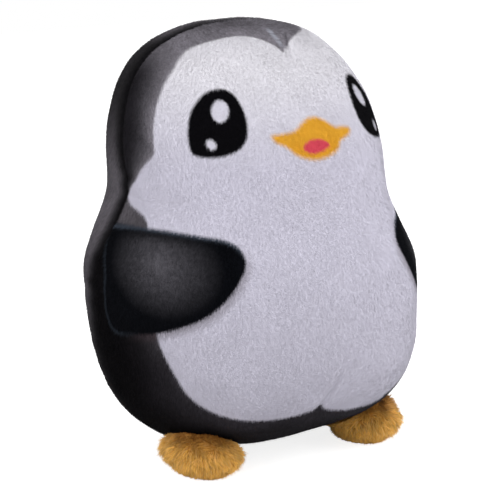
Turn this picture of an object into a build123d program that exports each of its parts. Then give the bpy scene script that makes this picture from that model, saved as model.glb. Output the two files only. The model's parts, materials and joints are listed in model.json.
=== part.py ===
from build123d import *
import os
from functools import cache
from math import acos, cos, pi, radians, sin

# A stuffed penguin: a pillow body cut from a front and a back panel, and two sewn-on, stuffed feet.
# Millimetres, +Z up. It faces -Y, so its left side is +X. The origin lies on the surface that it
# rests on, below the middle of its width and depth.

# Body, as stuffed. The seam between the two panels lies in one upright plane.
body_top = 200.0
body_bottom = -1.5  # the round pillow's lowest point; its weight flattens it at the resting plane
seam_y = 21.3
belly_height = 88.0
belly_half_width = 78.0
belly_roundness = 2.6
head_height = 137.0
head_half_width = 62.0
head_roundness = 2.6
waist_height = 126.0
front_height = 46.0
front_depth = 94.0
front_base_roundness = 1.5
front_roundness = 2.0
rump_depth = 44.0
back_height = 118.0
back_depth = 53.0
back_base_roundness = 2.0
back_roundness = 2.4
fullness = 0.61  # 0.552 would make each level section two half ellipses
ring_count = 11
crown_angle = 5.0

# Cloth and seams
cloth = 1.5
allowance = 5.0
thread = 0.5
needle_inset = 2.2
stitch_pitch = 6.0
stitch_length = 4.0
closing_height_low = 30.0
closing_height_high = 62.0

# Feet. Values are for the left foot; the right one is its mirror image.
foot_from_side = 34.0
foot_x = belly_half_width - foot_from_side
foot_ahead = 37.5
foot_y = seam_y - foot_ahead
foot_height = 6.4
foot_half_width = 15.8
foot_half_length = 22.5
foot_half_height = 15.8
foot_gap = 0.5
sole_stitches = 16
hem = 2.6

# The rolled edge at the back of each foot turns inside loops of thread sewn to the body.
hinge_ahead = 20.5
hinge_y = seam_y - hinge_ahead
hinge_height = 6.8
hinge_slope = 27.0
bead_radius = 1.2
bead_length = 15.0
bead_clearance = 0.08
loop_thread = 0.7
loop_count = 4
loop_pitch = 3.8
loop_side_gap = 0.35
loop_root = 2.4
hinge_setback = 0.3

FAR = 400.0


def cap(share, roundness):
    """Half-width, as a share, at this share of the way out from the widest level to the tip."""
    return max(0.0, 1 - min(1.0, share) ** roundness) ** (1 / roundness)


def ease(share):
    """Smooth step from 0 to 1."""
    share = min(1.0, max(0.0, share))
    return share * share * (3 - 2 * share)


def body_section(z, inset):
    """Half width, front depth and back depth of the pillow at height z, moved in by inset."""
    low, top = body_bottom + inset, body_top - inset
    belly, head = belly_half_width - inset, head_half_width - inset
    if z < belly_height:
        width = belly * cap((belly_height - z) / (belly_height - low), belly_roundness)
    elif z < head_height:
        width = belly + (head - belly) * ease((z - belly_height) / (waist_height - belly_height))
    else:
        width = head * cap((z - head_height) / (top - head_height), head_roundness)
    if z < front_height:
        share = cap((front_height - z) / (front_height - low), front_base_roundness)
    else:
        share = cap((z - front_height) / (top - front_height), front_roundness)
    front = (front_depth - inset) * share
    if z < belly_height:
        share = cap((belly_height - z) / (belly_height - low), back_base_roundness)
        back = (rump_depth - inset) * share
    elif z < back_height:
        share = ease((z - belly_height) / (back_height - belly_height))
        back = rump_depth - inset + (back_depth - rump_depth) * share
    else:
        back = (back_depth - inset) * cap((z - back_height) / (top - back_height), back_roundness)
    return width, front, back


def quarter_ring(width, depth, z, from_side):
    """A quarter of a level section, between a side seam and the middle of a panel."""
    points = [
        (width, seam_y, z),
        (width, seam_y + fullness * depth, z),
        (fullness * width, seam_y + depth, z),
        (0, seam_y + depth, z),
    ]
    return Bezier(*points) if from_side else Bezier(*reversed(points))


def ring(width, front, back, z):
    """The whole level section at height z."""
    return Wire([
        quarter_ring(width, -front, z, True),
        quarter_ring(-width, -front, z, False),
        quarter_ring(-width, back, z, True),
        quarter_ring(width, back, z, False),
    ])


def above(z):
    return Pos(0, 0, z + FAR / 2) * Box(FAR, FAR, FAR)


def slab(y_low, y_high):
    return Pos(0, (y_low + y_high) / 2, 0) * Box(2 * FAR, y_high - y_low, 2 * FAR)


@cache
def pillow(inset):
    """The stuffed body's solid shape, moved in by inset, with a flat where it rests."""
    low, top = body_bottom + inset, body_top - inset
    rest_turn = acos(1 - 2 * (top - inset) / (top - low))
    crown_turn = radians(crown_angle)
    rings = []
    for index in range(ring_count):
        turn = crown_turn + (rest_turn - crown_turn) * index / (ring_count - 1)
        z = top - (top - low) * (1 - cos(turn)) / 2
        rings.append(ring(*body_section(z, inset), z))
    return Solid.make_loft(rings)


def half_pillow(inset, side):
    return pillow(inset) & slab(*sorted((seam_y, seam_y + side * FAR)))


def outline(inset):
    """The pillow's outline in the plane of its seam."""
    return half_pillow(inset, -1).faces().sort_by(Axis.Y)[-1].outer_wire()


def edge_ring(y_low, y_high):
    """A flat ring inside the outline, as wide as the allowance, from y_low to y_high."""
    band = Face(outline(cloth / 2), [outline(cloth + allowance)])
    return Pos(0, y_low - seam_y, 0) * extrude(band, amount=y_high - y_low, dir=(0, 1, 0))


def panel(side):
    """One panel: its skin, and the allowance turned in along the seam. side is -1 or 1."""
    skin = half_pillow(0, side) - half_pillow(cloth, side)
    return skin + edge_ring(*sorted((seam_y, seam_y + side * cloth)))


def seam_channel():
    """The room that the two allowances and their thread take along the edge of the stuffing."""
    half_room = cloth + thread
    return edge_ring(seam_y - half_room, seam_y + half_room)


def seam_stitches():
    """Loops of thread through both allowances, split into the machine's and those sewn by hand."""
    needle_line = outline(needle_inset)
    outer = Box(stitch_length, 2 * (cloth + thread), thread)
    stitch = outer - Box(stitch_length - 2 * thread, 2 * cloth, thread)
    count = round(needle_line.length / stitch_pitch)
    machine, closing = [], []
    for index in range(count):
        place = needle_line.position_at((index + 0.5) / count)
        along = needle_line.tangent_at((index + 0.5) / count)
        loop = Plane(place, x_dir=along, z_dir=along.cross(Vector(0, 1, 0))).location * stitch
        by_hand = place.X > 0 and closing_height_low < place.Z < closing_height_high
        (closing if by_hand else machine).append(loop)
    return machine, closing


def hinge_frame():
    """At the left foot's hinge: X along its axis, Y towards the toes, Z towards the floor."""
    slope = radians(hinge_slope)
    along = (cos(slope), 0, sin(slope))
    return Plane((foot_x, hinge_y, hinge_height), x_dir=along, z_dir=(sin(slope), 0, -cos(slope)))


def hinge_cylinder(radius, length, middle=0.0):
    return hinge_frame().location * Pos(middle, 0, 0) * Rot(0, 90, 0) * Cylinder(radius, length)


def foot_form(inset, back_wall):
    """The stuffed foot's solid shape under the body, moved in by inset."""
    radii = (foot_half_width - inset, foot_half_length - inset, foot_half_height - inset)
    pad = Pos(foot_x, foot_y, foot_height) * scale(Sphere(1), by=radii)
    room = Pos(0, hinge_setback + back_wall + FAR / 2, 0) * Box(FAR, FAR, FAR)
    return (pad & hinge_frame().location * room & above(0)) - pillow(-foot_gap - inset)


def loop_middles():
    return [loop_pitch * (index - (loop_count - 1) / 2) for index in range(loop_count)]


def foot_pieces():
    """The left foot: its sole, its upper with the rolled edge, the stuffing and the seam thread."""
    form = foot_form(0, 0)
    inside = foot_form(cloth, hem) & above(cloth)
    notches = []
    for middle in loop_middles():
        reach = bead_radius + bead_clearance + loop_thread + loop_side_gap
        notches.append(hinge_cylinder(reach, loop_thread + 2 * loop_side_gap, middle))
    upper = (form & above(cloth)) - inside - notches
    upper = upper + (hinge_cylinder(bead_radius, bead_length) & above(cloth))
    sole = form - above(cloth) - notches
    stitches = []
    for index in range(sole_stitches):
        angle = 2 * pi * (index + 0.5) / sole_stitches
        share = cap((foot_height - cloth) / foot_half_height, 2)
        x = foot_x + (foot_half_width * share - cloth / 2) * cos(angle)
        y = foot_y + (foot_half_length * share - cloth / 2) * sin(angle)
        if y < hinge_y - hem:
            stitches.append(Pos(x, y, cloth) * Box(thread, thread, cloth))
    return {
        "foot_upper": [upper],
        "foot_sole": [sole],
        "foot_stuffing": [inside],
        "foot_seam_thread": stitches,
    }


def tack_loops():
    """Thread loops round the left foot's rolled edge, each with its shank up into the body."""
    inner = bead_radius + bead_clearance
    shank_length = loop_root + cloth
    loops = []
    for middle in loop_middles():
        ring = hinge_cylinder(inner + loop_thread, loop_thread, middle) - hinge_cylinder(inner, FAR)
        start = inner + loop_thread / 2
        shank = Pos(middle, 0, -start - shank_length / 2) * Box(loop_thread, loop_thread, shank_length)
        loops.append(ring + hinge_frame().location * shank)
    return loops


def right_of(shape):
    return mirror(shape, about=Plane.YZ)


def write(name, *pieces):
    solids = [solid for piece in pieces for solid in piece.solids()]
    export_step(Compound(solids), f"parts/{name}.step")


os.makedirs("parts", exist_ok=True)
left_loops = tack_loops()
right_loops = [right_of(loop) for loop in left_loops]
machine_stitches, closing_stitches = seam_stitches()

write("front_panel", panel(-1) - left_loops - right_loops)
write("back_panel", panel(1))
write("body_stuffing", pillow(cloth) - seam_channel() - left_loops - right_loops)
write("body_seam_thread", *machine_stitches)
write("closing_thread", *closing_stitches)
write("left_foot_tack_thread", *left_loops)
write("right_foot_tack_thread", *right_loops)
for name, pieces in foot_pieces().items():
    write("left_" + name, *pieces)
    write("right_" + name, *[right_of(piece) for piece in pieces])
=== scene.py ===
import json
import math

import bpy
import numpy as np
from mathutils import Matrix, Vector


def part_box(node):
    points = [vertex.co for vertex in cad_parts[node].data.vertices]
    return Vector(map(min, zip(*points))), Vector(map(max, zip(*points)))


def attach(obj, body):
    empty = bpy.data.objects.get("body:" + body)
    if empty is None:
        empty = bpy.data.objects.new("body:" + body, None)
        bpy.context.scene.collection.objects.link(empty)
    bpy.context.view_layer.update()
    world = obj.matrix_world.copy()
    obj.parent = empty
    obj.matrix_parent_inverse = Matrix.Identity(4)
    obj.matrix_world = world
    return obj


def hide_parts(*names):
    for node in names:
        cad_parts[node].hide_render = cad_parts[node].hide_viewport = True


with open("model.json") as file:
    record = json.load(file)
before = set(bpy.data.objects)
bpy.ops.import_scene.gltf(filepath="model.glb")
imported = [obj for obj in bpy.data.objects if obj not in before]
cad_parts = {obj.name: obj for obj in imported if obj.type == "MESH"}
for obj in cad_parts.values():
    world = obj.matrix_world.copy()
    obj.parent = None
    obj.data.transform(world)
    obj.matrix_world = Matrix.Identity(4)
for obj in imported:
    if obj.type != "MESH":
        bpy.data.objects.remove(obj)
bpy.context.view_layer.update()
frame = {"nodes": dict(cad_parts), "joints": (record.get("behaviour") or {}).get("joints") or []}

rng = np.random.default_rng(7)

# ---------------------------------------------------------------- sizes, in millimetres

MM = 0.001

# The body's driving sizes, the same as the CAD's
TOP, LOW = 200.0, -1.5
BELLY_HEIGHT, BELLY, BELLY_ROUND = 88.0, 78.0, 2.6
HEAD_HEIGHT, HEAD, HEAD_ROUND, WAIST_HEIGHT = 137.0, 62.0, 2.6, 126.0
FRONT_HEIGHT, FRONT, FRONT_BASE_ROUND, FRONT_ROUND = 46.0, 94.0, 1.5, 2.0
RUMP, BACK_HEIGHT, BACK, BACK_BASE_ROUND, BACK_ROUND = 44.0, 118.0, 53.0, 2.0, 2.4
FULLNESS = 0.61
SEAM_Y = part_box("front_panel")[1][1] / MM
BODY_MIDDLE = np.array([0, SEAM_Y, 90.0])
SECTION_POWER = 2.19  # of the superellipse that stands for a level section above the feet

# What the dressed cloth adds to that form
SKIN_INSET = 0.9
BLEND_STEPS, BLEND_SPREAD = range(-12, 13, 3), 14  # where the front's two curves meet
LUMP, DENT, PUCKER = 0.35, 0.12, 0.42
PUCKER_REACH = 8
SEAM_SINK, SEAM_WIDTH, SEAM_OVERLAP = 2.0, 1.4, 0.35
SEAM_WANDER = ((131, 10, -4.5), (182, 16, 2.5))  # height, spread and move in Y
SEAM_WANDER_REACH = 22
FRONT_GRID, BACK_GRID, BASE_ROWS = (300, 150), (220, 110), 6  # rows, and columns from the middle
FINE_LEVELS, FINE_COLUMNS, SEAM_LEVELS = 6001, 2001, 400
CLOTH_ZERO = 100  # the height at which distances up the cloth start
# Start and end on the cloth, depth and width
CREASES = (((-11, -64), (2, -36), 1.1, 1.5), ((13, 116), (2, 96), 0.9, 1.6),
           ((-4, -52), (14, -30), 0.5, 3.0), ((30, -66), (36, -40), 0.5, 3.0))

# Least heights above the floor
SKIN_FLOOR, PILE_FLOOR, FUR_FLOOR, FOOT_FLOOR = 0.06, 0.05, 0.02, 0.1

# Nap: short tufts that lean down the cloth and sway to either side
PILE_LENGTH, PILE_RADIUS, PILE_ROOT = 1.75, 0.13, 0.15
PILE_LEAN, PILE_TURN, PILE_SCATTER = 1.9, 1.6, 0.1
PILE_SWAY, PILE_BRUSHED, PILE_RUFFLED = 0.06, 0.18, 0.035
TUFTS_PER_PIECE, QUICK_SHARE = 49000, 0.6
FRONT_PILES, BACK_PILES = 4, 3

# Filling, thread
FILL_INSET, FILL_SHRINK, FILL_STEP = 4.0, 0.93, 4
STITCH_DEPTH, STITCH_PITCH, STITCH_SIZE, THREAD_RADIUS = 4.2, 6.0, (2.0, 1.6), 0.25
CLOSED_BY_HAND = (30.0, 62.0)
TUBE_SIDES = 6

# Feet: the left one, mirrored for the right
FEET = (("left_foot", 1), ("right_foot", -1))
FOOT_RADII = np.array([15.8, 22.5, 15.8])
FOOT_CENTRE = np.array([44.0, SEAM_Y - 37.5, 6.4])
FOOT_ROWS, FOOT_COLUMNS = 41, 73
FOOT_GAP, FOOT_CLOTH = 1.4, 1.5
HINGE = np.array(next(j["pos_m"] for j in frame["joints"] if j["name"] == "left_foot_hinge")) / MM
HINGE_SETBACK = 0.3
SOLE_DRAW, SOLE_DRAW_HEIGHT = 0.34, 13
SOLE_STITCHES, SOLE_STITCH_HEIGHT, SOLE_STITCH_INSET = 16, 2.2, 0.7
SOLE_STITCH_SIZE, SOLE_THREAD_RADIUS = (1.4, 1.0), 0.22
STRANDS, LOWEST_STRAND = 12400, -0.38
FUR_LENGTH, FUR_SHARES, FUR_RADII = 5.0, (0.0, 0.4, 0.75), (0.17, 0.15, 0.1)
FUR_LIFT, FUR_COMB, FUR_CLUMP, FUR_SCATTER, FUR_BEND = 0.62, (0, -0.25, -1.0), 0.38, 0.17, 0.22
FUR_ROOM, FUR_BODY_GAP = 1.2, 0.6  # least gap to the body: at a root, and along a strand

THIRDS = (0, 2 * math.pi / 3, 4 * math.pi / 3)


# ---------------------------------------------------------------- smooth random functions

def unit(vectors, least=1e-9):
    """The vectors brought to length 1, or less where one is shorter than the least length."""
    return vectors / np.maximum(np.linalg.norm(vectors, axis=-1, keepdims=True), least)


class Waves:
    """Smooth noise: a sum of plane waves, the same at every run."""

    def __init__(self, wavelength, count=14, dimensions=3):
        aim = unit(rng.normal(size=(count, dimensions)))
        spread = rng.uniform(0.7, 1.5, size=(count, 1))
        self.waves = aim * 2 * math.pi / (wavelength * spread)
        self.phases = rng.uniform(0, 2 * math.pi, count)

    def __call__(self, points):
        turns = np.asarray(points) @ self.waves.T + self.phases
        return np.sin(turns).sum(-1) / math.sqrt(len(self.phases) / 2)


lumps = Waves(52)
dents = Waves(21)
puckers = Waves(8.5, 9, 1)
pucker_places = Waves(55, 6, 1)
brushed = Waves(26)
ruffled = Waves(5.5)
clumps = [Waves(5.5) for _ in range(3)]


# ---------------------------------------------------------------- shape

def cap(share, roundness):
    """Half-width, as a share, at this share of the way out from the widest level to the tip."""
    share = np.clip(share, 0, 1)
    return np.maximum(0, 1 - share ** roundness) ** (1 / roundness)


def ease(share):
    """Smooth step from 0 to 1."""
    share = np.clip(share, 0, 1)
    return share * share * (3 - 2 * share)


def bump(value, middle, width):
    """1 at the middle, falling smoothly to 0 on both sides."""
    return np.exp(-((value - middle) / width) ** 2)


def front_depth(z):
    """Depth to the front at a height, as in the CAD."""
    low = FRONT * cap((FRONT_HEIGHT - z) / (FRONT_HEIGHT - LOW), FRONT_BASE_ROUND)
    high = FRONT * cap((z - FRONT_HEIGHT) / (TOP - FRONT_HEIGHT), FRONT_ROUND)
    return np.where(z < FRONT_HEIGHT, low, high)


def section(z):
    """Half width, depth to the front and depth to the back at a height."""
    z = np.asarray(z, float)
    low = BELLY * cap((BELLY_HEIGHT - z) / (BELLY_HEIGHT - LOW), BELLY_ROUND)
    middle = BELLY + (HEAD - BELLY) * ease((z - BELLY_HEIGHT) / (WAIST_HEIGHT - BELLY_HEIGHT))
    high = HEAD * cap((z - HEAD_HEIGHT) / (TOP - HEAD_HEIGHT), HEAD_ROUND)
    width = np.where(z < BELLY_HEIGHT, low, np.where(z < HEAD_HEIGHT, middle, high))
    # Rounded where its two curves meet, which would show as a line across the belly
    rounded = sum(front_depth(z + step) for step in BLEND_STEPS) / len(BLEND_STEPS)
    front = front_depth(z)
    front = front + (rounded - front) * bump(z, FRONT_HEIGHT, BLEND_SPREAD)
    low = RUMP * cap((BELLY_HEIGHT - z) / (BELLY_HEIGHT - LOW), BACK_BASE_ROUND)
    middle = RUMP + (BACK - RUMP) * ease((z - BELLY_HEIGHT) / (BACK_HEIGHT - BELLY_HEIGHT))
    high = BACK * cap((z - BACK_HEIGHT) / (TOP - BACK_HEIGHT), BACK_ROUND)
    back = np.where(z < BELLY_HEIGHT, low, np.where(z < BACK_HEIGHT, middle, high))
    return width, front, back


def quarter(t):
    """One quarter of a level section: share of the width, share of the depth."""
    across = (1 - t) ** 3 + 3 * (1 - t) ** 2 * t + 3 * (1 - t) * t * t * FULLNESS
    out = 3 * (1 - t) ** 2 * t * FULLNESS + 3 * (1 - t) * t * t + t ** 3
    return across, out


def evenly(steps, values, count):
    """Values at places evenly spaced along a path with these steps."""
    run = np.concatenate([[0], np.cumsum(steps)])
    return np.interp(np.linspace(0, run[-1], count), run, values)


def levels(count, side):
    """Heights from the floor to the crown, spread along the surface between middle and side."""
    z = TOP * (1 - np.cos(np.linspace(0, math.pi, FINE_LEVELS))) / 2
    width, front, back = section(z)
    depth = front if side < 0 else back
    steps = np.sqrt(np.diff(z) ** 2 + 0.5 * np.diff(width) ** 2 + np.diff(depth) ** 2)
    return evenly(steps, z, count)


def columns(count):
    """Values for quarter() that are evenly spaced along its curve."""
    t = np.linspace(0, 1, FINE_COLUMNS)
    across, out = quarter(t)
    return evenly(np.hypot(np.diff(across), np.diff(out)), t, count)


def seam_shift(z):
    """How far the seam wanders from its plane: forward at the neck, back at the crown."""
    return sum(move * bump(z, height, spread) for height, spread, move in SEAM_WANDER)


def valley(u, v, start, end, depth, width):
    """A crease from start to end on the cloth, deepest at its start, between two low bulges."""
    start, end = np.array(start, float), np.array(end, float)
    along = end - start
    length = np.linalg.norm(along)
    along /= length
    du, dv = u - start[0], v - start[1]
    run = du * along[0] + dv * along[1]
    off = du * -along[1] + dv * along[0]
    fade = ease(1 - run / length) * ease(1 + run / 6)
    bulge = 0.55 * bump(off, 2.2 * width, 1.6 * width)
    return depth * fade * (bump(off, 0, width) - bulge)


def grid_normals(p, side):
    """Normals of a panel's grid, pointing out of the body."""
    n = unit(np.cross(np.gradient(p, axis=1), np.gradient(p, axis=0)) * -side)
    middle = n[n.shape[0] // 2, n.shape[1] // 2]
    if middle[1] * side < 0:
        n = -n
    n[-1] = (0, 0, 1)
    return n


class Panel:
    """One cloth panel as a grid. Rows go up from the base seam, columns from side to side."""

    def __init__(self, side, rows, half_columns):
        self.side = side
        z = levels(rows, side)
        across, out = quarter(columns(half_columns))
        across = np.concatenate([-across, across[::-1][1:]])
        out = np.concatenate([out, out[::-1][1:]])
        width, front, back = section(z)
        depth = front if side < 0 else back
        x = width[:, None] * across
        y = SEAM_Y + side * depth[:, None] * out
        up = np.repeat(z[:, None], len(across), 1)
        # The flat under the body, from the seam's plane out to the first level
        shares = np.linspace(0, 1, BASE_ROWS + 1)[:-1][:, None]
        base_x = np.repeat(x[:1], BASE_ROWS, 0)
        base_y = SEAM_Y + shares * (y[:1] - SEAM_Y)
        self.plain = np.stack([np.concatenate([base_x, x]), np.concatenate([base_y, y]),
                               np.concatenate([np.zeros_like(base_x), up])], -1)
        self.measure()
        self.dress()

    def measure(self):
        """On the cloth: u across from the middle, v up from CLOTH_ZERO, edge in from the seam."""
        p = self.plain
        across = np.linalg.norm(np.diff(p, axis=1), axis=-1)
        u = np.concatenate([np.zeros((p.shape[0], 1)), np.cumsum(across, 1)], 1)
        middle = p.shape[1] // 2
        self.u = u - u[:, middle:middle + 1]
        along = np.linalg.norm(np.diff(p, axis=0), axis=-1)
        v = np.concatenate([np.zeros((1, p.shape[1])), np.cumsum(along, 0)], 0)
        zero = np.argmin(np.abs(p[:, middle, 2] - CLOTH_ZERO))
        self.v = v - v[zero:zero + 1]
        self.edge = np.minimum(u, u[:, -1:] - u)
        self.edge = np.minimum(self.edge, v[-1:] - v + 2.0)
        self.edge = np.minimum(self.edge, v + 2.0 * (p[..., 2] > 0.5))
        self.flat_normals = grid_normals(p, self.side)

    def dress(self):
        """Lumps, puckers, creases and the seam's groove, as moves along the normals."""
        # At the seam both panels sink in its own plane, so that they meet along one line
        p, n, edge = self.plain, self.flat_normals.copy(), self.edge
        n[..., 1] *= ease(edge / 6)
        n = unit(n, 1e-6)
        z = p[..., 2]
        sink = SKIN_INSET + LUMP * lumps(p) * ease(edge / 25) + DENT * dents(p) * ease(edge / 15)
        sink = sink + SEAM_SINK * np.exp(-(edge / SEAM_WIDTH) ** 1.5)
        # Puckers run along each side of the seam, weaker towards the head and the base
        run = np.stack([z + 400 * np.sign(p[..., 0])], -1)
        strength = (0.55 + 0.45 * pucker_places(run)) * ease((150 - z) / 40) * ease((z - 4) / 20)
        strength = np.maximum(strength, 0.12)
        beside = np.exp(-edge / PUCKER_REACH) * ease(edge / 1.5 + 0.3)
        sink = sink + PUCKER * strength * puckers(run) * beside
        if self.side < 0:
            sink = sink + sum(valley(self.u, self.v, *crease) for crease in CREASES)
        rest = ease(z / 3.0)
        self.points = p - n * (sink * rest)[..., None]
        shift = seam_shift(z) * np.exp(-(edge / SEAM_WANDER_REACH) ** 2) * ease((TOP - z) / 10)
        overlap = self.side * SEAM_OVERLAP * np.exp(-(edge / 1.2) ** 2)
        self.points[..., 1] += shift - overlap
        self.points[..., 2] = np.maximum(self.points[..., 2], SKIN_FLOOR)
        self.normals = grid_normals(self.points, self.side)

    def sample(self, count):
        """Roots spread evenly over the cloth above the floor: places, normals, u, v and edge."""
        p = self.points
        cell = np.cross(p[1:, :-1] - p[:-1, :-1], p[:-1, 1:] - p[:-1, :-1])
        cell = np.linalg.norm(cell, axis=-1) * (p[:-1, :-1, 2] > 0.4)
        share = np.cumsum(cell.ravel())
        marks = (np.arange(count) + rng.uniform(0, 1, count)) / count * share[-1]
        picked = np.searchsorted(share, marks)
        row, col = np.divmod(np.clip(picked, 0, cell.size - 1), cell.shape[1])
        a, b = rng.uniform(0, 1, count), rng.uniform(0, 1, count)

        def at(values):
            w = [(1 - a) * (1 - b), (1 - a) * b, a * (1 - b), a * b]
            corners = [values[row, col], values[row, col + 1],
                       values[row + 1, col], values[row + 1, col + 1]]
            if values.ndim == 3:
                w = [weight[:, None] for weight in w]
            return sum(weight * corner for weight, corner in zip(w, corners))

        return {"place": at(p), "normal": unit(at(self.normals)),
                "u": at(self.u), "v": at(self.v), "edge": at(self.edge)}


# ---------------------------------------------------------------- the print, drawn on the cloth

def smooth_loop(points, per_span=10):
    """A closed, rounded curve through a few points."""
    p = np.array(points, float)
    before, after, next_one = np.roll(p, 1, 0), np.roll(p, -1, 0), np.roll(p, -2, 0)
    t = np.linspace(0, 1, per_span, endpoint=False)[:, None, None]
    curve = 0.5 * (2 * p + (after - before) * t
                   + (2 * before - 5 * p + 4 * after - next_one) * t ** 2
                   + (3 * p - before - 3 * after + next_one) * t ** 3)
    return curve.transpose(1, 0, 2).reshape(-1, 2)


def inside_by(loop, x, y, reach=12):
    """Signed distance to a closed curve, positive inside, and -reach far outside."""
    x, y = np.ravel(x), np.ravel(y)
    low, high = loop.min(0) - reach, loop.max(0) + reach
    near = (x > low[0]) & (x < high[0]) & (y > low[1]) & (y < high[1])
    result = np.full(len(x), -float(reach))
    px, py = x[near], y[near]
    best = np.full(len(px), np.inf)
    crossings = np.zeros(len(px), int)
    for (ax, ay), (bx, by) in zip(loop, np.roll(loop, -1, 0)):
        dx, dy = bx - ax, by - ay
        share = np.clip(((px - ax) * dx + (py - ay) * dy) / max(dx * dx + dy * dy, 1e-9), 0, 1)
        best = np.minimum(best, (px - ax - share * dx) ** 2 + (py - ay - share * dy) ** 2)
        straddle = (ay > py) != (by > py)
        if straddle.any() and abs(dy) > 1e-9:
            crossings += straddle & (px < ax + (py - ay) * dx / dy)
    result[near] = np.where(crossings % 2 == 1, 1, -1) * np.sqrt(best)
    return result


# The print's curves, as (distance from the middle line, distance up the cloth), in millimetres.
# All but the beak and the mouth are drawn once and mirrored across the middle line.
WHITE = smooth_loop([
    (0, 106), (2.5, 109), (7, 113), (14, 116.5), (23, 116.5), (33, 112.5), (45, 103), (55, 91.5),
    (64, 81.5), (71.5, 72), (76.5, 63), (79, 56), (80.4, 50.5), (85.5, 47), (93, 42.5),
    (102, 36.6), (109.8, 30.6), (110.6, 28), (106.5, 25), (99, 22.8), (93.5, 20), (92, 14),
    (92, 0), (92, -20), (88.5, -30), (84, -39), (76, -49.5), (63, -60), (43, -68.5),
    (32, -71.5), (20, -72), (10, -70), (3, -67), (0, -64.5), (-3, -67), (-10, -70), (-10, 60),
    (-6, 110), (-2.5, 109)])
WING = smooth_loop([
    (122, 13), (110, 15.5), (92, 17), (76, 17.2), (62, 16.5), (50, 15), (44, 11.5), (41.8, 6),
    (43.5, 0), (51, -10.5), (61, -19), (73, -25), (88, -30), (102, -32.5), (113, -34),
    (119.5, -31), (122, -22), (120.5, -9), (122, 3)])
WING_CORE = (84.0, 2.0, 0.0)
EYE = smooth_loop([
    (37, 84.4), (32.5, 82.4), (30.4, 76), (30.2, 68), (32, 61), (36, 56), (43, 52.6),
    (50.5, 51.2), (56.5, 51.6), (59, 54), (58.5, 61), (55, 70), (50, 76.5), (44, 82)])
SHINE_HIGH = smooth_loop([
    (36.8, 73.5), (39, 69.6), (42.2, 67.9), (44.5, 69.4), (44.6, 73), (42.3, 76.9),
    (39.1, 78.8), (36.8, 77.3)])
SHINE_LOW = smooth_loop([
    (48, 59.6), (46.6, 58), (46.9, 55.9), (49, 55), (50.8, 56.4), (50.4, 58.8)])
BEAK = smooth_loop([
    (-20.8, 61.4), (-15.5, 62), (-9.6, 63), (-5.5, 66), (-1.5, 68.4), (3, 68.7), (7, 66.6),
    (12, 62.6), (17, 62), (21.2, 60.6), (19.6, 57.8), (13.6, 55.6), (10.6, 52), (4, 49.2),
    (-3.5, 48.6), (-11, 51.2), (-15.5, 55.6), (-19.6, 58)])
MOUTH = smooth_loop([
    (-7.4, 53.6), (-6.6, 56), (-2.6, 57.9), (1.6, 58), (5.4, 56.2), (6.2, 54.2), (2, 52.2),
    (-3.6, 51.6)], 6)

# The middle line leans from side to side of the front, and the white tilts over the crown
MIDDLE_HEIGHTS = [-66, -50, -30, 5, 60, 85, 107, 120]
MIDDLE_SHIFTS = [-11, -6, -3, -2.2, 0.8, 2.3, 4.8, 9.5]
CROWN_TILT, CROWN_TILT_AT, CROWN_TILT_SPREAD = 0.13, 18, 12


def flat_field(u, v):
    """A place on the cloth as a vector field for the materials."""
    return np.stack([u, v, np.zeros_like(u)], -1)


def print_fields(u, v, edge):
    """How far inside each printed shape a point lies, for the material to colour it."""
    u, v, edge = np.ravel(u), np.ravel(v), np.ravel(edge)
    off = u - np.interp(v, MIDDLE_HEIGHTS, MIDDLE_SHIFTS)
    half = np.abs(off)
    tilt = CROWN_TILT * off * bump(half, CROWN_TILT_AT, CROWN_TILT_SPREAD)
    tilted = v + tilt * ease((v - 85) / 25)
    return {
        "white": inside_by(WHITE, half, tilted),
        "wing": inside_by(WING, half, v),
        "eye": inside_by(EYE, half, v),
        "shine": np.maximum(inside_by(SHINE_HIGH, half, v), inside_by(SHINE_LOW, half, v)),
        "beak": inside_by(BEAK, off, v),
        "mouth": inside_by(MOUTH, off, v),
        "edge": edge,
        "cloth": flat_field(u, v),
        "half": flat_field(half, v),
    }


# ---------------------------------------------------------------- materials

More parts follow.
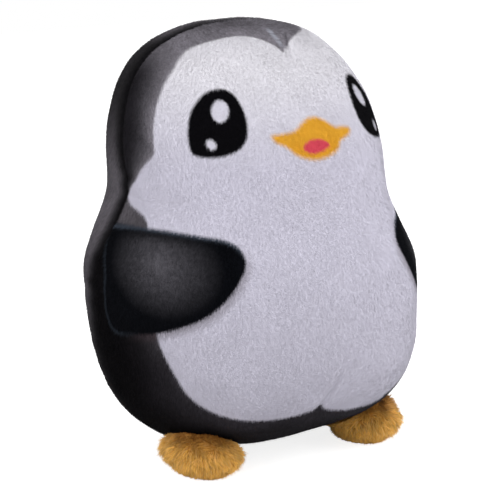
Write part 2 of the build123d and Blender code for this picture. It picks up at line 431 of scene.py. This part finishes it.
class Nodes:
    """Short names for building a node material."""

    def __init__(self, name):
        self.material = bpy.data.materials.new(name)
        self.material.use_nodes = True
        self.tree = self.material.node_tree
        self.shader = self.tree.nodes["Principled BSDF"]

    def add(self, kind, **settings):
        node = self.tree.nodes.new("ShaderNode" + kind)
        for key, value in settings.items():
            setattr(node, key, value)
        return node

    def link(self, source, target):
        """Feed a socket from another socket, a number, or a vector or colour."""
        if isinstance(source, (int, float)):
            target.default_value = source
        elif isinstance(source, tuple):
            is_colour = len(source) == 3 and target.type == "RGBA"
            target.default_value = (*source, 1) if is_colour else source
        else:
            self.tree.links.new(source, target)

    def field(self, name, vector=False):
        node = self.add("Attribute", attribute_name=name)
        return node.outputs["Vector" if vector else "Fac"]

    def axes(self, name):
        """The first two parts of a vector field."""
        node = self.add("SeparateXYZ")
        self.link(self.field(name, True), node.inputs[0])
        return node.outputs[0], node.outputs[1]

    def math(self, operation, a, b=0.0):
        node = self.add("Math", operation=operation)
        self.link(a, node.inputs[0])
        self.link(b, node.inputs[1])
        return node.outputs[0]

    def times(self, product, *factors):
        for factor in factors:
            product = self.math("MULTIPLY", product, factor)
        return product

    def between(self, value, low, high, out_low=0.0, out_high=1.0, kind="SMOOTHSTEP"):
        node = self.add("MapRange", interpolation_type=kind)
        inputs = {"Value": value, "From Min": low, "From Max": high,
                  "To Min": out_low, "To Max": out_high}
        for name, source in inputs.items():
            self.link(source, node.inputs[name])
        return node.outputs["Result"]

    def mix(self, share, a, b, blend="MIX"):
        node = self.add("Mix", data_type="RGBA", blend_type=blend)
        self.link(share, node.inputs[0])
        self.link(a, node.inputs[6])
        self.link(b, node.inputs[7])
        return node.outputs[2]

    def noise(self, vector, scale, detail=2.0, roughness=0.5):
        node = self.add("TexNoise")
        self.link(vector, node.inputs["Vector"])
        node.inputs["Scale"].default_value = scale
        node.inputs["Detail"].default_value = detail
        node.inputs["Roughness"].default_value = roughness
        return node.outputs["Fac"]

    def set(self, **values):
        for name, value in values.items():
            self.link(value, self.shader.inputs[name.replace("_", " ")])

    def bump(self, height, strength, distance):
        node = self.add("Bump")
        node.inputs["Strength"].default_value = strength
        node.inputs["Distance"].default_value = distance
        self.link(height, node.inputs["Height"])
        self.link(node.outputs["Normal"], self.shader.inputs["Normal"])


def tone(code):
    """Linear colour of a display colour such as e6e4ee."""
    values = [int(code[i:i + 2], 16) / 255 for i in (0, 2, 4)]
    return tuple(v / 12.92 if v <= 0.04045 else ((v + 0.055) / 1.055) ** 2.4 for v in values)


def cloth_shader(m, colour, bumpy, sheen=0.008):
    """Matt cloth. The skin under the tufts is bumpy, the tufts themselves aren't."""
    m.set(Base_Color=colour, Roughness=0.92, Specular_IOR_Level=0.02,
          Sheen_Weight=sheen, Sheen_Roughness=0.5)
    if bumpy:
        grain = m.noise(m.field("cloth", True), 1.6, 3.0, 0.6)
        m.bump(grain, 0.5, 0.0006)
    return m.material


def shaded(m, colour, strength):
    """The colour made darker or lighter by a strength around 1."""
    grey = m.add("CombineColor")
    for socket in grey.inputs[:3]:
        m.link(strength, socket)
    return m.mix(1.0, colour, grey.outputs[0], "MULTIPLY")


def mottled(m, colour, amount, hairs=0.0):
    """Nap brushed this way and that: patches, streaks and hairs a little darker and lighter."""
    cloth = m.field("cloth", True)
    patches = m.between(m.noise(cloth, 0.055, 3.0), 0.3, 0.7, 1 - amount, 1 + amount)
    stretch = m.add("Mapping")
    m.link(cloth, stretch.inputs["Vector"])
    stretch.inputs["Scale"].default_value = (1.0, 0.35, 1.0)
    fine = m.noise(stretch.outputs[0], 0.9, 2.0, 0.6)
    strength = m.times(patches, m.between(fine, 0.3, 0.7, 1 - amount, 1 + amount))
    if hairs:
        tint = m.between(m.field("tint"), 0.0, 1.0, 1 - hairs, 1 + hairs, "LINEAR")
        strength = m.times(strength, tint)
    return shaded(m, colour, strength)


def print_border(m, cloth, edge, height):
    """Grey beside the white, fading to black at the seam, less so at the neck and the crown."""
    white_gap = m.math("MAXIMUM", m.times(m.field("white"), -1.0), 0.0)
    share = m.math("DIVIDE", edge, m.math("MAXIMUM", m.math("ADD", edge, white_gap), 0.1))
    # From here the grey is lighter high on the head and crown and darker low on the belly: partly
    # the print's own gradient, partly painted light from above and painted shade low down
    fade = m.math("POWER", share, m.between(height, 45.0, 75.0, 4.6, 3.4))
    neck = m.times(m.between(height, 14.0, 18.0), m.between(height, 33.0, 25.0),
                   m.between(edge, 1.5, 4.0))
    fade = m.math("MAXIMUM", fade, m.times(neck, 0.9))
    crown = m.between(height, 82.0, 112.0)
    fade = m.math("ADD", fade, m.times(m.math("SUBTRACT", 0.85, m.times(fade, 0.85)), crown))
    grey = m.mix(m.between(height, 10.0, 60.0), tone("5a565b"), tone("89858d"))
    grey = m.mix(m.between(height, -5.0, -50.0), grey, tone("353237"))
    dark = m.mix(m.between(height, 25.0, 45.0), tone("080709"), tone("201e22"))
    border = mottled(m, m.mix(fade, dark, grey), 0.14, 0.3)
    # A painted highlight, as of light catching a fold, runs down the middle of the crown to the
    # point of the white
    across, _ = m.axes("cloth")
    off_fold_highlight = m.math("ABSOLUTE", m.math("SUBTRACT", across, 6.2))
    fold_highlight = m.times(m.between(off_fold_highlight, 2.0, 0.3),
                     m.times(m.between(height, 108.0, 112.0), m.between(height, 127.0, 121.0)),
                     m.between(m.noise(cloth, 0.6, 2.0), 0.3, 0.6, 0.4, 1.0))
    return m.mix(fold_highlight, border, tone("b2b4c0"))


def print_white(m, height):
    """The white, lightest on the forehead and greyest low on the belly: partly the print's own
    lavender tint, partly painted light from above and painted shade low down.
    """
    white = m.mix(m.between(height, 100.0, 40.0), tone("eceaf1"), tone("d2cfde"))
    return m.mix(m.between(height, 10.0, -60.0), white, tone("c5c2d0"))


def print_wing(m, colour, shape, cloth, edge, half, height):
    """The wing over the colour: a brown halo, black feathers, a grey core, a rim and a line."""
    wing = m.field("wing")
    halo = m.times(m.between(wing, -5.0, -0.5), m.between(height, 14.0, -2.0),
                   m.between(edge, 22.0, 45.0))
    colour = m.mix(m.times(halo, 0.42), colour, tone("4a3c40"))
    squashed = m.add("VectorMath", operation="MULTIPLY")
    m.link(m.field("half", True), squashed.inputs[0])
    squashed.inputs[1].default_value = (1.0, 1.3, 1.0)
    off_core = m.add("VectorMath", operation="DISTANCE")
    m.link(squashed.outputs[0], off_core.inputs[0])
    off_core.inputs[1].default_value = WING_CORE
    core = m.between(off_core.outputs["Value"], 33.0, 0.0, kind="LINEAR")
    core = m.times(m.math("POWER", core, 1.2), m.between(wing, -0.5, 8.0),
                   m.between(m.noise(cloth, 0.35, 3.0, 0.65), 0.25, 0.75, 0.75, 1.2))
    feather = m.mix(core, tone("0a0b0f"), tone("58565c"))
    rim = m.times(m.between(wing, 2.4, 0.4), m.between(height, 6.0, 13.0))
    feather = mottled(m, m.mix(m.times(rim, 0.8), feather, tone("444b57")), 0.06, 0.25)
    colour = m.mix(shape("wing"), colour, feather)
    off_line = m.math("ABSOLUTE", m.math("ADD", wing, 0.2))
    line = m.times(m.between(off_line, 1.3, 0.2), m.between(half, 96.0, 114.0))
    return m.mix(m.times(line, 0.3), colour, tone("3e4650"))


def print_face(m, colour, shape, height):
    """The eyes with their shine, the beak and the mouth over the colour."""
    colour = m.mix(shape("eye"), colour, tone("0c0b0e"))
    colour = m.mix(shape("shine", 0.7), colour, tone("dcdae6"))
    beak_low = m.times(m.between(height, 60.0, 50.0), m.between(m.field("beak"), 0.5, 4.0))
    beak = m.mix(m.times(beak_low, 0.7), tone("e7a936"), tone("dc9427"))
    colour = m.mix(shape("beak", 1.5), colour, beak)
    return m.mix(shape("mouth"), colour, tone("dc4f60"))


def printed_plush(name, bumpy):
    """The front's cloth, coloured by the fields that print_fields gives."""
    m = Nodes(name)
    cloth, edge = m.field("cloth", True), m.field("edge")
    half, height = m.axes("half")
    wobble = m.between(m.noise(cloth, 1.7, 2.0, 0.6), 0.25, 0.75, -0.5, 0.5, "LINEAR")

    def shape(field, soft=0.85):
        """1 inside a printed shape and 0 outside, with a soft, uneven edge."""
        moved = m.math("ADD", m.field(field), wobble)
        return m.between(moved, -soft, soft)

    colour = m.mix(shape("white"), print_border(m, cloth, edge, height), print_white(m, height))
    colour = print_wing(m, colour, shape, cloth, edge, half, height)
    colour = print_face(m, colour, shape, height)
    return cloth_shader(m, mottled(m, colour, 0.025), bumpy)


def charcoal_plush(name, bumpy):
    """The back's cloth, lightest in a band beside the seam at shoulder height, where grazing light
    from behind on the left is painted, and darkest at the seam, where the groove's shade is
    painted.
    """
    m = Nodes(name)
    _, height = m.axes("cloth")
    edge = m.field("edge")
    # Painted light: a band beside the seam, lighter as grazing light from behind would make it
    level = m.times(m.between(height, 72.0, 30.0), m.between(height, -65.0, 20.0))
    level = m.math("MAXIMUM", level, m.between(height, 98.0, 116.0))
    level = m.times(level, m.between(edge, 60.0, 20.0))
    grey = m.mix(level, tone("2a282b"), tone("646066"))
    # Painted shade in the seam's groove: near-black at the seam, fading to the band's grey over 9
    # mm
    colour = m.mix(m.between(edge, 0.5, 9.0), tone("121113"), grey)
    return cloth_shader(m, mottled(m, colour, 0.12, 0.3), bumpy, 0.03)


def golden_fur(name):
    """Fur that is lighter towards its tips, darker high up with painted shade from the body above,
    and uneven from tuft to tuft.
    """
    m = Nodes(name)
    colour = m.mix(m.between(m.field("along"), 0.0, 0.6), tone("d68d2b"), tone("ffbf54"))
    colour = m.mix(m.times(m.field("tint"), 0.5), colour, tone("fad192"))
    # Painted shade: the fur high on the foot, under the body, is darker
    colour = m.mix(m.between(m.field("rise"), 12.0, 20.0), colour, tone("915b18"))
    colour = shaded(m, colour, m.between(m.field("shade"), 0.0, 1.0, 0.72, 1.18, "LINEAR"))
    m.set(Base_Color=colour, Roughness=0.75, Specular_IOR_Level=0.25, Sheen_Weight=0.08)
    return m.material


def noisy_material(name, scale, detail, roughness, codes, strength, distance):
    """A matt material with noise in its colour and its bumps."""
    m = Nodes(name)
    grain = m.noise(m.add("TexCoord").outputs["Object"], scale, detail, roughness)
    colour = m.mix(m.between(grain, 0.3, 0.7), tone(codes[0]), tone(codes[1]))
    m.set(Base_Color=colour, Roughness=0.95)
    m.bump(grain, strength, distance)
    return m.material


def sewing_thread(name, code_low, code_high):
    """Twisted thread, banded from one tone to the other."""
    m = Nodes(name)
    twist = m.add("TexWave", wave_type="BANDS", bands_direction="DIAGONAL")
    m.link(m.add("TexCoord").outputs["Object"], twist.inputs["Vector"])
    twist.inputs["Scale"].default_value = 900.0
    colour = m.mix(twist.outputs["Fac"], tone(code_low), tone(code_high))
    m.set(Base_Color=colour, Roughness=0.6)
    m.bump(twist.outputs["Fac"], 0.5, 0.0002)
    return m.material


# ---------------------------------------------------------------- making pieces

def mesh_object(name, points, faces, material, body=None, replaces=(), normals=None):
    """A smooth mesh from points in millimetres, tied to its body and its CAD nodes."""
    mesh = bpy.data.meshes.new(name)
    points = np.asarray(points, np.float32) * MM
    faces = np.asarray(faces, np.int32)
    sides = faces.shape[1]
    mesh.vertices.add(len(points))
    mesh.vertices.foreach_set("co", points.ravel())
    mesh.loops.add(faces.size)
    mesh.loops.foreach_set("vertex_index", faces.ravel())
    mesh.polygons.add(len(faces))
    mesh.polygons.foreach_set("loop_start", np.arange(0, faces.size, sides, dtype=np.int32))
    mesh.polygons.foreach_set("loop_total", np.full(len(faces), sides, np.int32))
    mesh.update(calc_edges=True)
    mesh.shade_smooth()
    if normals is not None:
        mesh.normals_split_custom_set_from_vertices(np.asarray(normals, np.float32).tolist())
    mesh.materials.append(material)
    obj = bpy.data.objects.new(name, mesh)
    bpy.context.scene.collection.objects.link(obj)
    if body:
        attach(obj, body)
    if replaces:
        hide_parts(*replaces)
    return obj


def set_fields(obj, values):
    """One number or vector for each vertex, which the materials read by name."""
    for name, data in values.items():
        data = np.asarray(data, np.float32)
        kind = "FLOAT" if data.ndim == 1 else "FLOAT_VECTOR"
        layer = obj.data.attributes.new(name, kind, "POINT")
        layer.data.foreach_set("value" if kind == "FLOAT" else "vector", data.ravel())


def bake_map(obj, places):
    """A UV map named OFBake, from a place for each vertex, for the materials to be baked onto."""
    places = np.asarray(places, float)
    low, high = places.min(0), places.max(0)
    places = 0.01 + 0.98 * (places - low) / (high - low).max()
    index = np.empty(len(obj.data.loops), np.int32)
    obj.data.loops.foreach_get("vertex_index", index)
    layer = obj.data.uv_layers.new(name="OFBake")
    layer.data.foreach_set("uv", places[index].astype(np.float32).ravel())


def grid_faces(rows, cols, points, middle):
    """Faces of a grid, turned so that most of them face away from the middle."""
    corner = (np.arange(rows - 1)[:, None] * cols + np.arange(cols - 1)).ravel()
    faces = np.stack([corner, corner + 1, corner + cols + 1, corner + cols], 1)
    a, b, c = points[faces[:, 0]], points[faces[:, 1]], points[faces[:, 2]]
    n = np.cross(b - a, c - a)
    return faces[:, ::-1] if np.sum(n * (a - middle)) < 0 else faces


def panel_fields(panel, data):
    """What a panel's material reads: the print's fields in front, and plain ones behind."""
    if panel.side < 0:
        return print_fields(data["u"], data["v"], data["edge"])
    return {"cloth": flat_field(np.ravel(data["u"]), np.ravel(data["v"])),
            "edge": np.ravel(data["edge"])}


def make_skin(name, panel, material, node):
    """A panel's cloth, under the nap."""
    rows, cols = panel.points.shape[:2]
    points = panel.points.reshape(-1, 3)
    faces = grid_faces(rows, cols, points, BODY_MIDDLE)
    obj = mesh_object(name, points, faces, material, "body", [node])
    fields = panel_fields(panel, {"u": panel.u, "v": panel.v, "edge": panel.edge})
    set_fields(obj, fields | {"tint": np.full(len(points), 0.5)})
    bake_map(obj, np.stack([panel.u.ravel(), panel.v.ravel()], -1))


def sideways(aim):
    """Two directions square to each strand's aim, at a random turn."""
    side_a = unit(np.cross(aim, rng.normal(size=aim.shape)))
    return side_a, np.cross(aim, side_a)


def strand_rings(places, radii, side_a, side_b):
    """Three points round each strand at each of its places."""
    return [place + radius * (math.cos(a) * side_a + math.sin(a) * side_b)
            for place, radius in zip(places, radii) for a in THIRDS]


def strand_faces(count, rings):
    """Faces of closed, three-sided strands, whose points are their rings and then their tip."""
    faces = [(2, 1, 0)]
    for ring in range(0, 3 * (rings - 1), 3):
        for k in range(3):
            a, b = ring + k, ring + (k + 1) % 3
            faces += [(a, b, b + 3), (a, b + 3, a + 3)]
    last, tip = 3 * (rings - 1), 3 * rings
    faces += [(last + k, last + (k + 1) % 3, tip) for k in range(3)]
    start = np.arange(count)[:, None] * (tip + 1)
    return np.concatenate([start + np.array(face) for face in faces])


def make_pile(name, panel, material, count):
    """Short nap as closed, three-sided tufts that lean the way the cloth is brushed."""
    data = panel.sample(count)
    place, normal = data["place"], data["normal"]
    down = unit(np.array([0, 0, -1.0]) - normal * -normal[:, 2:3], 0.2)
    across = np.cross(normal, down)
    sway = PILE_SWAY + PILE_BRUSHED * brushed(place) + PILE_RUFFLED * ruffled(place)
    lean = PILE_LEAN * down + PILE_TURN * sway[:, None] * across
    lean = lean + rng.normal(0, PILE_SCATTER, (count, 3))
    # The tufts stand up and are shorter beside the seam
    upright = ease(1 - data["edge"] / 3)[:, None] * 0.5
    aim = unit(normal + lean * (1 - upright))
    length = PILE_LENGTH * rng.uniform(0.75, 1.15, (count, 1))
    length = length * (0.55 + 0.45 * ease(data["edge"] / 2.5))[:, None]
    side_a, side_b = sideways(aim)
    root = place - normal * PILE_ROOT
    rings = strand_rings([root], [PILE_RADIUS], side_a, side_b)
    points = np.stack([*rings, root + aim * length], 1)
    points[..., 2] = np.maximum(points[..., 2], PILE_FLOOR)
    soft = unit(normal + 0.04 * rng.normal(size=(count, 3)))
    obj = mesh_object(name, points.reshape(-1, 3), strand_faces(count, 1), material, "body", (),
                      np.repeat(soft, 4, 0))
    fields = panel_fields(panel, data) | {"tint": rng.uniform(0, 1, count)}
    set_fields(obj, {key: np.repeat(value, 4, 0) for key, value in fields.items()})
    spread = np.array([[0.5, 0], [-0.25, 0.43], [-0.25, -0.43], [0, 0]])
    flat = np.stack([data["u"], data["v"]], -1)[:, None, :] + spread
    bake_map(obj, flat.reshape(-1, 2))


def make_fill(name, panel, material, replaces):
    """Half of the body's filling, which stays clear of the dressed cloth."""
    inset = FILL_INSET * ease(panel.edge / 6)[..., None]
    points = (panel.plain - panel.flat_normals * inset)[BASE_ROWS::FILL_STEP, ::FILL_STEP]
    rows, cols = points.shape[:2]
    points = BODY_MIDDLE + (points.reshape(-1, 3) - BODY_MIDDLE) * FILL_SHRINK
    faces = grid_faces(rows, cols, points, BODY_MIDDLE)
    mesh_object(name, points, faces, material, "body", replaces)


def body_floor(x, y):
    """The height of the body's underside over a point of the ground."""
    low, high = np.zeros_like(x), np.full_like(x, FRONT_HEIGHT)
    for _ in range(24):
        z = (low + high) / 2
        width, front, back = section(z)
        depth = np.where(y < SEAM_Y, front, back)
        across, out = np.abs(x) / width, np.abs(y - SEAM_Y) / depth
        inside = across ** SECTION_POWER + out ** SECTION_POWER < 1
        high = np.where(inside, z, high)
        low = np.where(inside, low, z)
    return (low + high) / 2


def foot_points(turn, rise, inset=0.0):
    """Points of the left foot's skin, clear of the body and in front of its hinge, and normals."""
    n = np.stack([np.cos(rise) * np.cos(turn), np.cos(rise) * np.sin(turn), np.sin(rise)], -1)
    p = FOOT_CENTRE + FOOT_RADII * n
    # The stuffed foot draws in towards its sole
    draw = 1 - SOLE_DRAW * (1 - ease(p[..., 2] / SOLE_DRAW_HEIGHT))
    for axis in (0, 1):
        p[..., axis] = FOOT_CENTRE[axis] + (p[..., axis] - FOOT_CENTRE[axis]) * draw
    p = FOOT_CENTRE + (p - FOOT_CENTRE) * (1 - inset / FOOT_RADII)
    p[..., 1] = np.minimum(p[..., 1], HINGE[1] - HINGE_SETBACK - inset)
    ceiling = body_floor(p[..., 0], p[..., 1]) - FOOT_GAP - inset
    floor = FOOT_FLOOR + inset
    p[..., 2] = np.clip(p[..., 2], floor, np.maximum(ceiling, floor + FOOT_FLOOR))
    return p, n / FOOT_RADII


def foot_shell(side, inset=0.0):
    """Points and faces of a whole foot, moved in by inset."""
    turn, rise = np.meshgrid(np.linspace(0, 2 * math.pi, FOOT_COLUMNS),
                             np.linspace(-math.pi / 2, math.pi / 2, FOOT_ROWS))
    mirror = np.array([side, 1, 1])
    points = foot_points(turn.ravel(), rise.ravel(), inset)[0] * mirror
    return points, grid_faces(FOOT_ROWS, FOOT_COLUMNS, points, FOOT_CENTRE * mirror)


def make_foot(name, side, backing, filling):
    """A foot's cloth and its filling."""
    points, faces = foot_shell(side)
    skin = mesh_object(name + "_skin", points, faces, backing, name,
                       [name + "_upper", name + "_sole"])
    points, faces = foot_shell(side, FOOT_CLOTH)
    mesh_object(name + "_fill", points, faces, filling, name, [name + "_stuffing"])


def make_fur(name, side, material):
    """Fur as closed, bent strands that are combed down, in clumps that turn this way and that."""
    # More roots than needed are drawn, as many lie against the body or behind the hinge
    turn = rng.uniform(0, 2 * math.pi, STRANDS * 4)
    rise = np.arcsin(rng.uniform(LOWEST_STRAND, 1, STRANDS * 4))
    root, n = foot_points(turn, rise)
    n = unit(n)
    gap = body_floor(root[:, 0], root[:, 1]) - root[:, 2]
    free = (gap > FUR_ROOM) & (root[:, 1] < HINGE[1] - 1.0)
    root, n, gap = root[free][:STRANDS], n[free][:STRANDS], gap[free][:STRANDS]
    count = len(root)

    clump = np.stack([wave(root) for wave in clumps], -1)
    comb = np.array(FUR_COMB) + FUR_CLUMP * clump
    comb -= n * np.sum(n * comb, 1, keepdims=True)
    aim = unit(FUR_LIFT * n + comb + rng.normal(0, FUR_SCATTER, (count, 3)))
    # Shorter where the body is near and towards the sole
    length = FUR_LENGTH * rng.uniform(0.6, 1.1, (count, 1)) * np.clip(gap / 6, 0.3, 1)[:, None]
    length = length * (0.45 + 0.55 * ease(root[:, 2:3] / 12))
    bend = rng.normal(0, FUR_BEND, (count, 3)) + np.array([0, 0, -0.25])
    side_a, side_b = sideways(aim)
    places = [root + aim * length * share + bend * length * share ** 2 * 0.5
              for share in FUR_SHARES]
    tip = root + aim * length + bend * length * 0.5
    points = np.stack([*strand_rings(places, FUR_RADII, side_a, side_b), tip], 1)
    points[..., 1] = np.minimum(points[..., 1], HINGE[1] + 2.0)
    over = body_floor(points[..., 0].ravel(), points[..., 1].ravel()).reshape(points.shape[:2])
    points[..., 2] = np.clip(points[..., 2], FUR_FLOOR, np.maximum(over - FUR_BODY_GAP, 0.1))

    mirror = np.array([side, 1, 1])
    faces = strand_faces(count, len(FUR_SHARES))
    if side < 0:
        faces = faces[:, ::-1]
    soft = unit((n + 0.5 * aim + 0.25 * rng.normal(size=(count, 3))) * mirror)
    per_strand = points.shape[1]
    obj = mesh_object(name + "_fur", (points * mirror).reshape(-1, 3), faces, material, name, (),
                      np.repeat(soft, per_strand, 0))
    tint = rng.uniform(0, 1, count) ** 2
    shade = np.clip(0.5 + 0.22 * clump[:, 1] + rng.normal(0, 0.2, count), 0, 1)
    # The roots' heights go in as rise, by which the material paints the body's shade on the fur
    # high up
    set_fields(obj, {"along": np.tile(np.array([*np.repeat(FUR_SHARES, 3), 1.0]), count),
                     "tint": np.repeat(tint, per_strand),
                     "rise": np.repeat(root[:, 2], per_strand),
                     "shade": np.repeat(shade, per_strand)})
    # Each strand gets its own square of the map
    per_side = math.ceil(math.sqrt(count))
    cell = np.stack(np.divmod(np.arange(count), per_side), -1)[:, None, :]
    across = np.array([0.1, 0.5, 0.9] * 3 + [0.5])
    up = np.array([0.1] * 3 + [0.4] * 3 + [0.7] * 3 + [0.92])
    bake_map(obj, (cell + np.stack([across, up], -1)).reshape(-1, 2))


def thread_loops(loops, steps, size, thread):
    """Closed loops of round thread, each from its side, centre, two directions and their normal."""
    ring, tube = np.meshgrid(np.arange(steps) * 2 * math.pi / steps,
                             np.arange(TUBE_SIDES) * 2 * math.pi / TUBE_SIDES, indexing="ij")
    ring_a, ring_b = np.cos(ring)[..., None], np.sin(ring)[..., None]
    tube_a, tube_b = np.cos(tube)[..., None], np.sin(tube)[..., None]
    points = []
    for side, centre, along, across, out in loops:
        line = centre + ring_a * along * size[0] + ring_b * across * size[1]
        round_it = tube_a * (ring_a * along + ring_b * across) + tube_b * out
        points.append((line + thread * round_it).reshape(-1, 3) * np.array([side, 1, 1]))
    i, j = np.divmod(np.arange(steps * TUBE_SIDES), TUBE_SIDES)
    i2, j2 = (i + 1) % steps * TUBE_SIDES, (j + 1) % TUBE_SIDES
    i = i * TUBE_SIDES
    faces = np.stack([i + j, i2 + j, i2 + j2, i + j2], 1)
    starts = np.arange(len(points))[:, None, None] * steps * TUBE_SIDES
    return np.concatenate(points), (starts + faces).reshape(-1, 4)


def sole_stitches(name, side, material):
    """Loops of thread all round the edge of the sole, under the fur."""
    rise = math.asin((SOLE_STITCH_HEIGHT - FOOT_CENTRE[2]) / FOOT_RADII[2])
    up = np.array([0, 0, 1.0])
    loops = []
    for turn in (np.arange(SOLE_STITCHES) + 0.5) * 2 * math.pi / SOLE_STITCHES:
        centre, out = foot_points(np.array(turn), np.array(rise), SOLE_STITCH_INSET)
        if centre[1] > HINGE[1] - 3:
            continue
        out = unit(np.array([out[0], out[1], 0]))
        loops.append((side, centre, np.cross(out, up), up, out))
    points, faces = thread_loops(loops, 12, SOLE_STITCH_SIZE, SOLE_THREAD_RADIUS)
    mesh_object(name + "_stitches", points, faces, material, name, [name + "_seam_thread"])


def seam_line(inset):
    """The left side's seam from the floor to the crown, moved into the body, and its directions."""
    z = levels(SEAM_LEVELS, 1)
    width = section(z)[0]
    line = np.stack([width, SEAM_Y + seam_shift(z) * ease((TOP - z) / 10), z], -1)
    run = np.concatenate([[0], np.cumsum(np.linalg.norm(np.diff(line, axis=0), axis=1))])
    tangent = unit(np.gradient(line, axis=0))
    inward = np.cross(tangent, (0, 1, 0))
    inward *= np.sign(np.sum(inward * (BODY_MIDDLE - line), 1))[:, None]
    return run, line + inward * inset, tangent, inward


def seam_stitches(name, material, node, by_hand):
    """Thread loops through both allowances, inside the body along the seam."""
    run, *curves = seam_line(STITCH_DEPTH)
    through = np.array([0, 1.0, 0])
    loops = []
    for side in (-1, 1):
        for index in range(int(run[-1] / STITCH_PITCH)):
            at = (index + 0.5) * STITCH_PITCH
            centre, along, inward = (np.array([np.interp(at, run, curve[:, k]) for k in range(3)])
                                     for curve in curves)
            closed = side > 0 and CLOSED_BY_HAND[0] < centre[2] < CLOSED_BY_HAND[1]
            if closed == by_hand:
                loops.append((side, centre, along, through, inward))
    points, faces = thread_loops(loops, 16, STITCH_SIZE, THREAD_RADIUS)
    mesh_object(name, points, faces, material, "body", [node])


# ---------------------------------------------------------------- build

front = Panel(-1, *FRONT_GRID)
back = Panel(1, *BACK_GRID)
printed = printed_plush("printed_plush", True)
printed_nap = printed_plush("printed_nap", False)
charcoal = charcoal_plush("charcoal_plush", True)
charcoal_nap = charcoal_plush("charcoal_nap", False)
make_skin("front_skin", front, printed, "front_panel")
make_skin("back_skin", back, charcoal, "back_panel")
tufts = int(TUFTS_PER_PIECE * (1))
for number in range(FRONT_PILES):
    make_pile(f"front_pile_{number + 1}", front, printed_nap, tufts)
for number in range(BACK_PILES):
    make_pile(f"back_pile_{number + 1}", back, charcoal_nap, tufts)

filling = noisy_material("fibre_fill", 260.0, 5.0, 0.7, ("e4e2dc", "f4f3ef"), 0.8, 0.001)
make_fill("front_fill", front, filling, ["body_stuffing"])
make_fill("back_fill", back, filling, [])

backing = noisy_material("golden_backing", 900.0, 2.0, 0.5, ("b0742a", "d09240"), 0.4, 0.0005)
fur = golden_fur("golden_fur")
for name, side in FEET:
    make_foot(name, side, backing, filling)
    make_fur(name, side, fur)

dark_thread = sewing_thread("dark_thread", "0c0c0e", "2a2a2e")
golden_thread = sewing_thread("golden_thread", "8a5a18", "c08a34")
for name, side in FEET:
    sole_stitches(name, side, golden_thread)
seam_stitches("seam_stitches", dark_thread, "body_seam_thread", False)
seam_stitches("closing_stitches", dark_thread, "closing_thread", True)

# The CAD's own thread and filling, of which the feet's tack threads stay in sight
for node in frame["nodes"]:
    obj = bpy.data.objects.get(node)
    if obj and node.endswith(("_thread", "_stuffing")):
        obj.data.materials.clear()
        obj.data.materials.append(golden_thread if node.endswith("_thread") else filling)

# ---------------------------------------------------------------- camera, floor and light
# Angles in degrees, lengths in metres. Azimuth 0 is in front of the penguin.

AZIMUTH, ELEVATION, ROLL = -32.35, 13.13, 0.74
DISTANCE, TARGET = 0.922, Vector((0, -0.002, 0.0985))
LENS, SENSOR, SHIFT_X, SHIFT_Y = 143.2, 36, -0.027, -0.0162
# Name, azimuth, elevation, size and power
LAMPS = (("key", -35, 60, 1.4, 3.9), ("right", 60, 5, 1.2, 10.0),
         ("left", -90, 18, 1.2, 4.8), ("low", -10, 2, 0.5, 1.3))
LAMP_TARGET, LAMP_DISTANCE = Vector((0, 0, 0.1)), 1.1
WORLD_LIGHT, FLOOR_GLOW, FLOOR_REACH = 0.65, 0.8, 1.5
PAPER = (1, 1, 1, 1)


def toward(azimuth, elevation):
    """The direction from the penguin to a camera or a lamp."""
    azimuth, elevation = math.radians(azimuth), math.radians(elevation)
    return Vector((math.sin(azimuth) * math.cos(elevation),
                   -math.cos(azimuth) * math.cos(elevation), math.sin(elevation)))


def seen_directly(tree):
    """1 where the camera or a reflection looks, and 0 where only light arrives."""
    rays = tree.nodes.new("ShaderNodeLightPath")
    seen = rays.outputs["Is Camera Ray"]
    for name in ("Is Glossy Ray", "Is Transmission Ray"):
        larger = tree.nodes.new("ShaderNodeMath")
        larger.operation = "MAXIMUM"
        tree.links.new(seen, larger.inputs[0])
        tree.links.new(rays.outputs[name], larger.inputs[1])
        seen = larger.outputs[0]
    return seen


view = toward(AZIMUTH, ELEVATION)
camera = bpy.data.objects.new("camera", bpy.data.cameras.new("camera"))
bpy.context.scene.collection.objects.link(camera)
camera.location = TARGET + view * DISTANCE
roll = Matrix.Rotation(-math.radians(ROLL), 3, "Z")
camera.rotation_euler = (view.to_track_quat("Z", "Y").to_matrix() @ roll).to_euler()
camera.data.lens = LENS
camera.data.sensor_width = SENSOR
camera.data.shift_x = SHIFT_X
camera.data.shift_y = SHIFT_Y
bpy.context.scene.camera = camera
bpy.context.scene.view_settings.view_transform = "Standard"

# The background is full white to the camera and dimmer as a light
world = bpy.data.worlds.new("studio")
bpy.context.scene.world = world
world.use_nodes = True
tree = world.node_tree
light = tree.nodes["Background"]
paper = tree.nodes.new("ShaderNodeBackground")
for node, strength in ((light, WORLD_LIGHT), (paper, 1.0)):
    node.inputs["Color"].default_value = PAPER
    node.inputs["Strength"].default_value = strength
mixer = tree.nodes.new("ShaderNodeMixShader")
tree.links.new(seen_directly(tree), mixer.inputs["Fac"])
tree.links.new(light.outputs[0], mixer.inputs[1])
tree.links.new(paper.outputs[0], mixer.inputs[2])
tree.links.new(mixer.outputs[0], tree.nodes["World Output"].inputs["Surface"])

for name, azimuth, elevation, size, power in LAMPS:
    direction = toward(azimuth, elevation)
    lamp_data = bpy.data.lights.new(name, "AREA")
    lamp_data.shape = "DISK"
    lamp_data.size = size
    lamp_data.energy = power
    lamp = bpy.data.objects.new(name, lamp_data)
    lamp.location = LAMP_TARGET + direction * LAMP_DISTANCE
    lamp.rotation_euler = direction.to_track_quat("Z", "Y").to_euler()
    bpy.context.scene.collection.objects.link(lamp)

m = Nodes("floor")
m.set(Base_Color=(0.8, 0.8, 0.8), Roughness=1.0, Specular_IOR_Level=0.0)
m.shader.inputs["Emission Color"].default_value = PAPER
m.set(Emission_Strength=m.times(seen_directly(m.tree), FLOOR_GLOW))
reach = FLOOR_REACH / MM
corners = [(-reach, -reach, 0), (reach, -reach, 0), (reach, reach, 0), (-reach, reach, 0)]
floor = mesh_object("floor", corners, [(0, 1, 2, 3)], m.material)
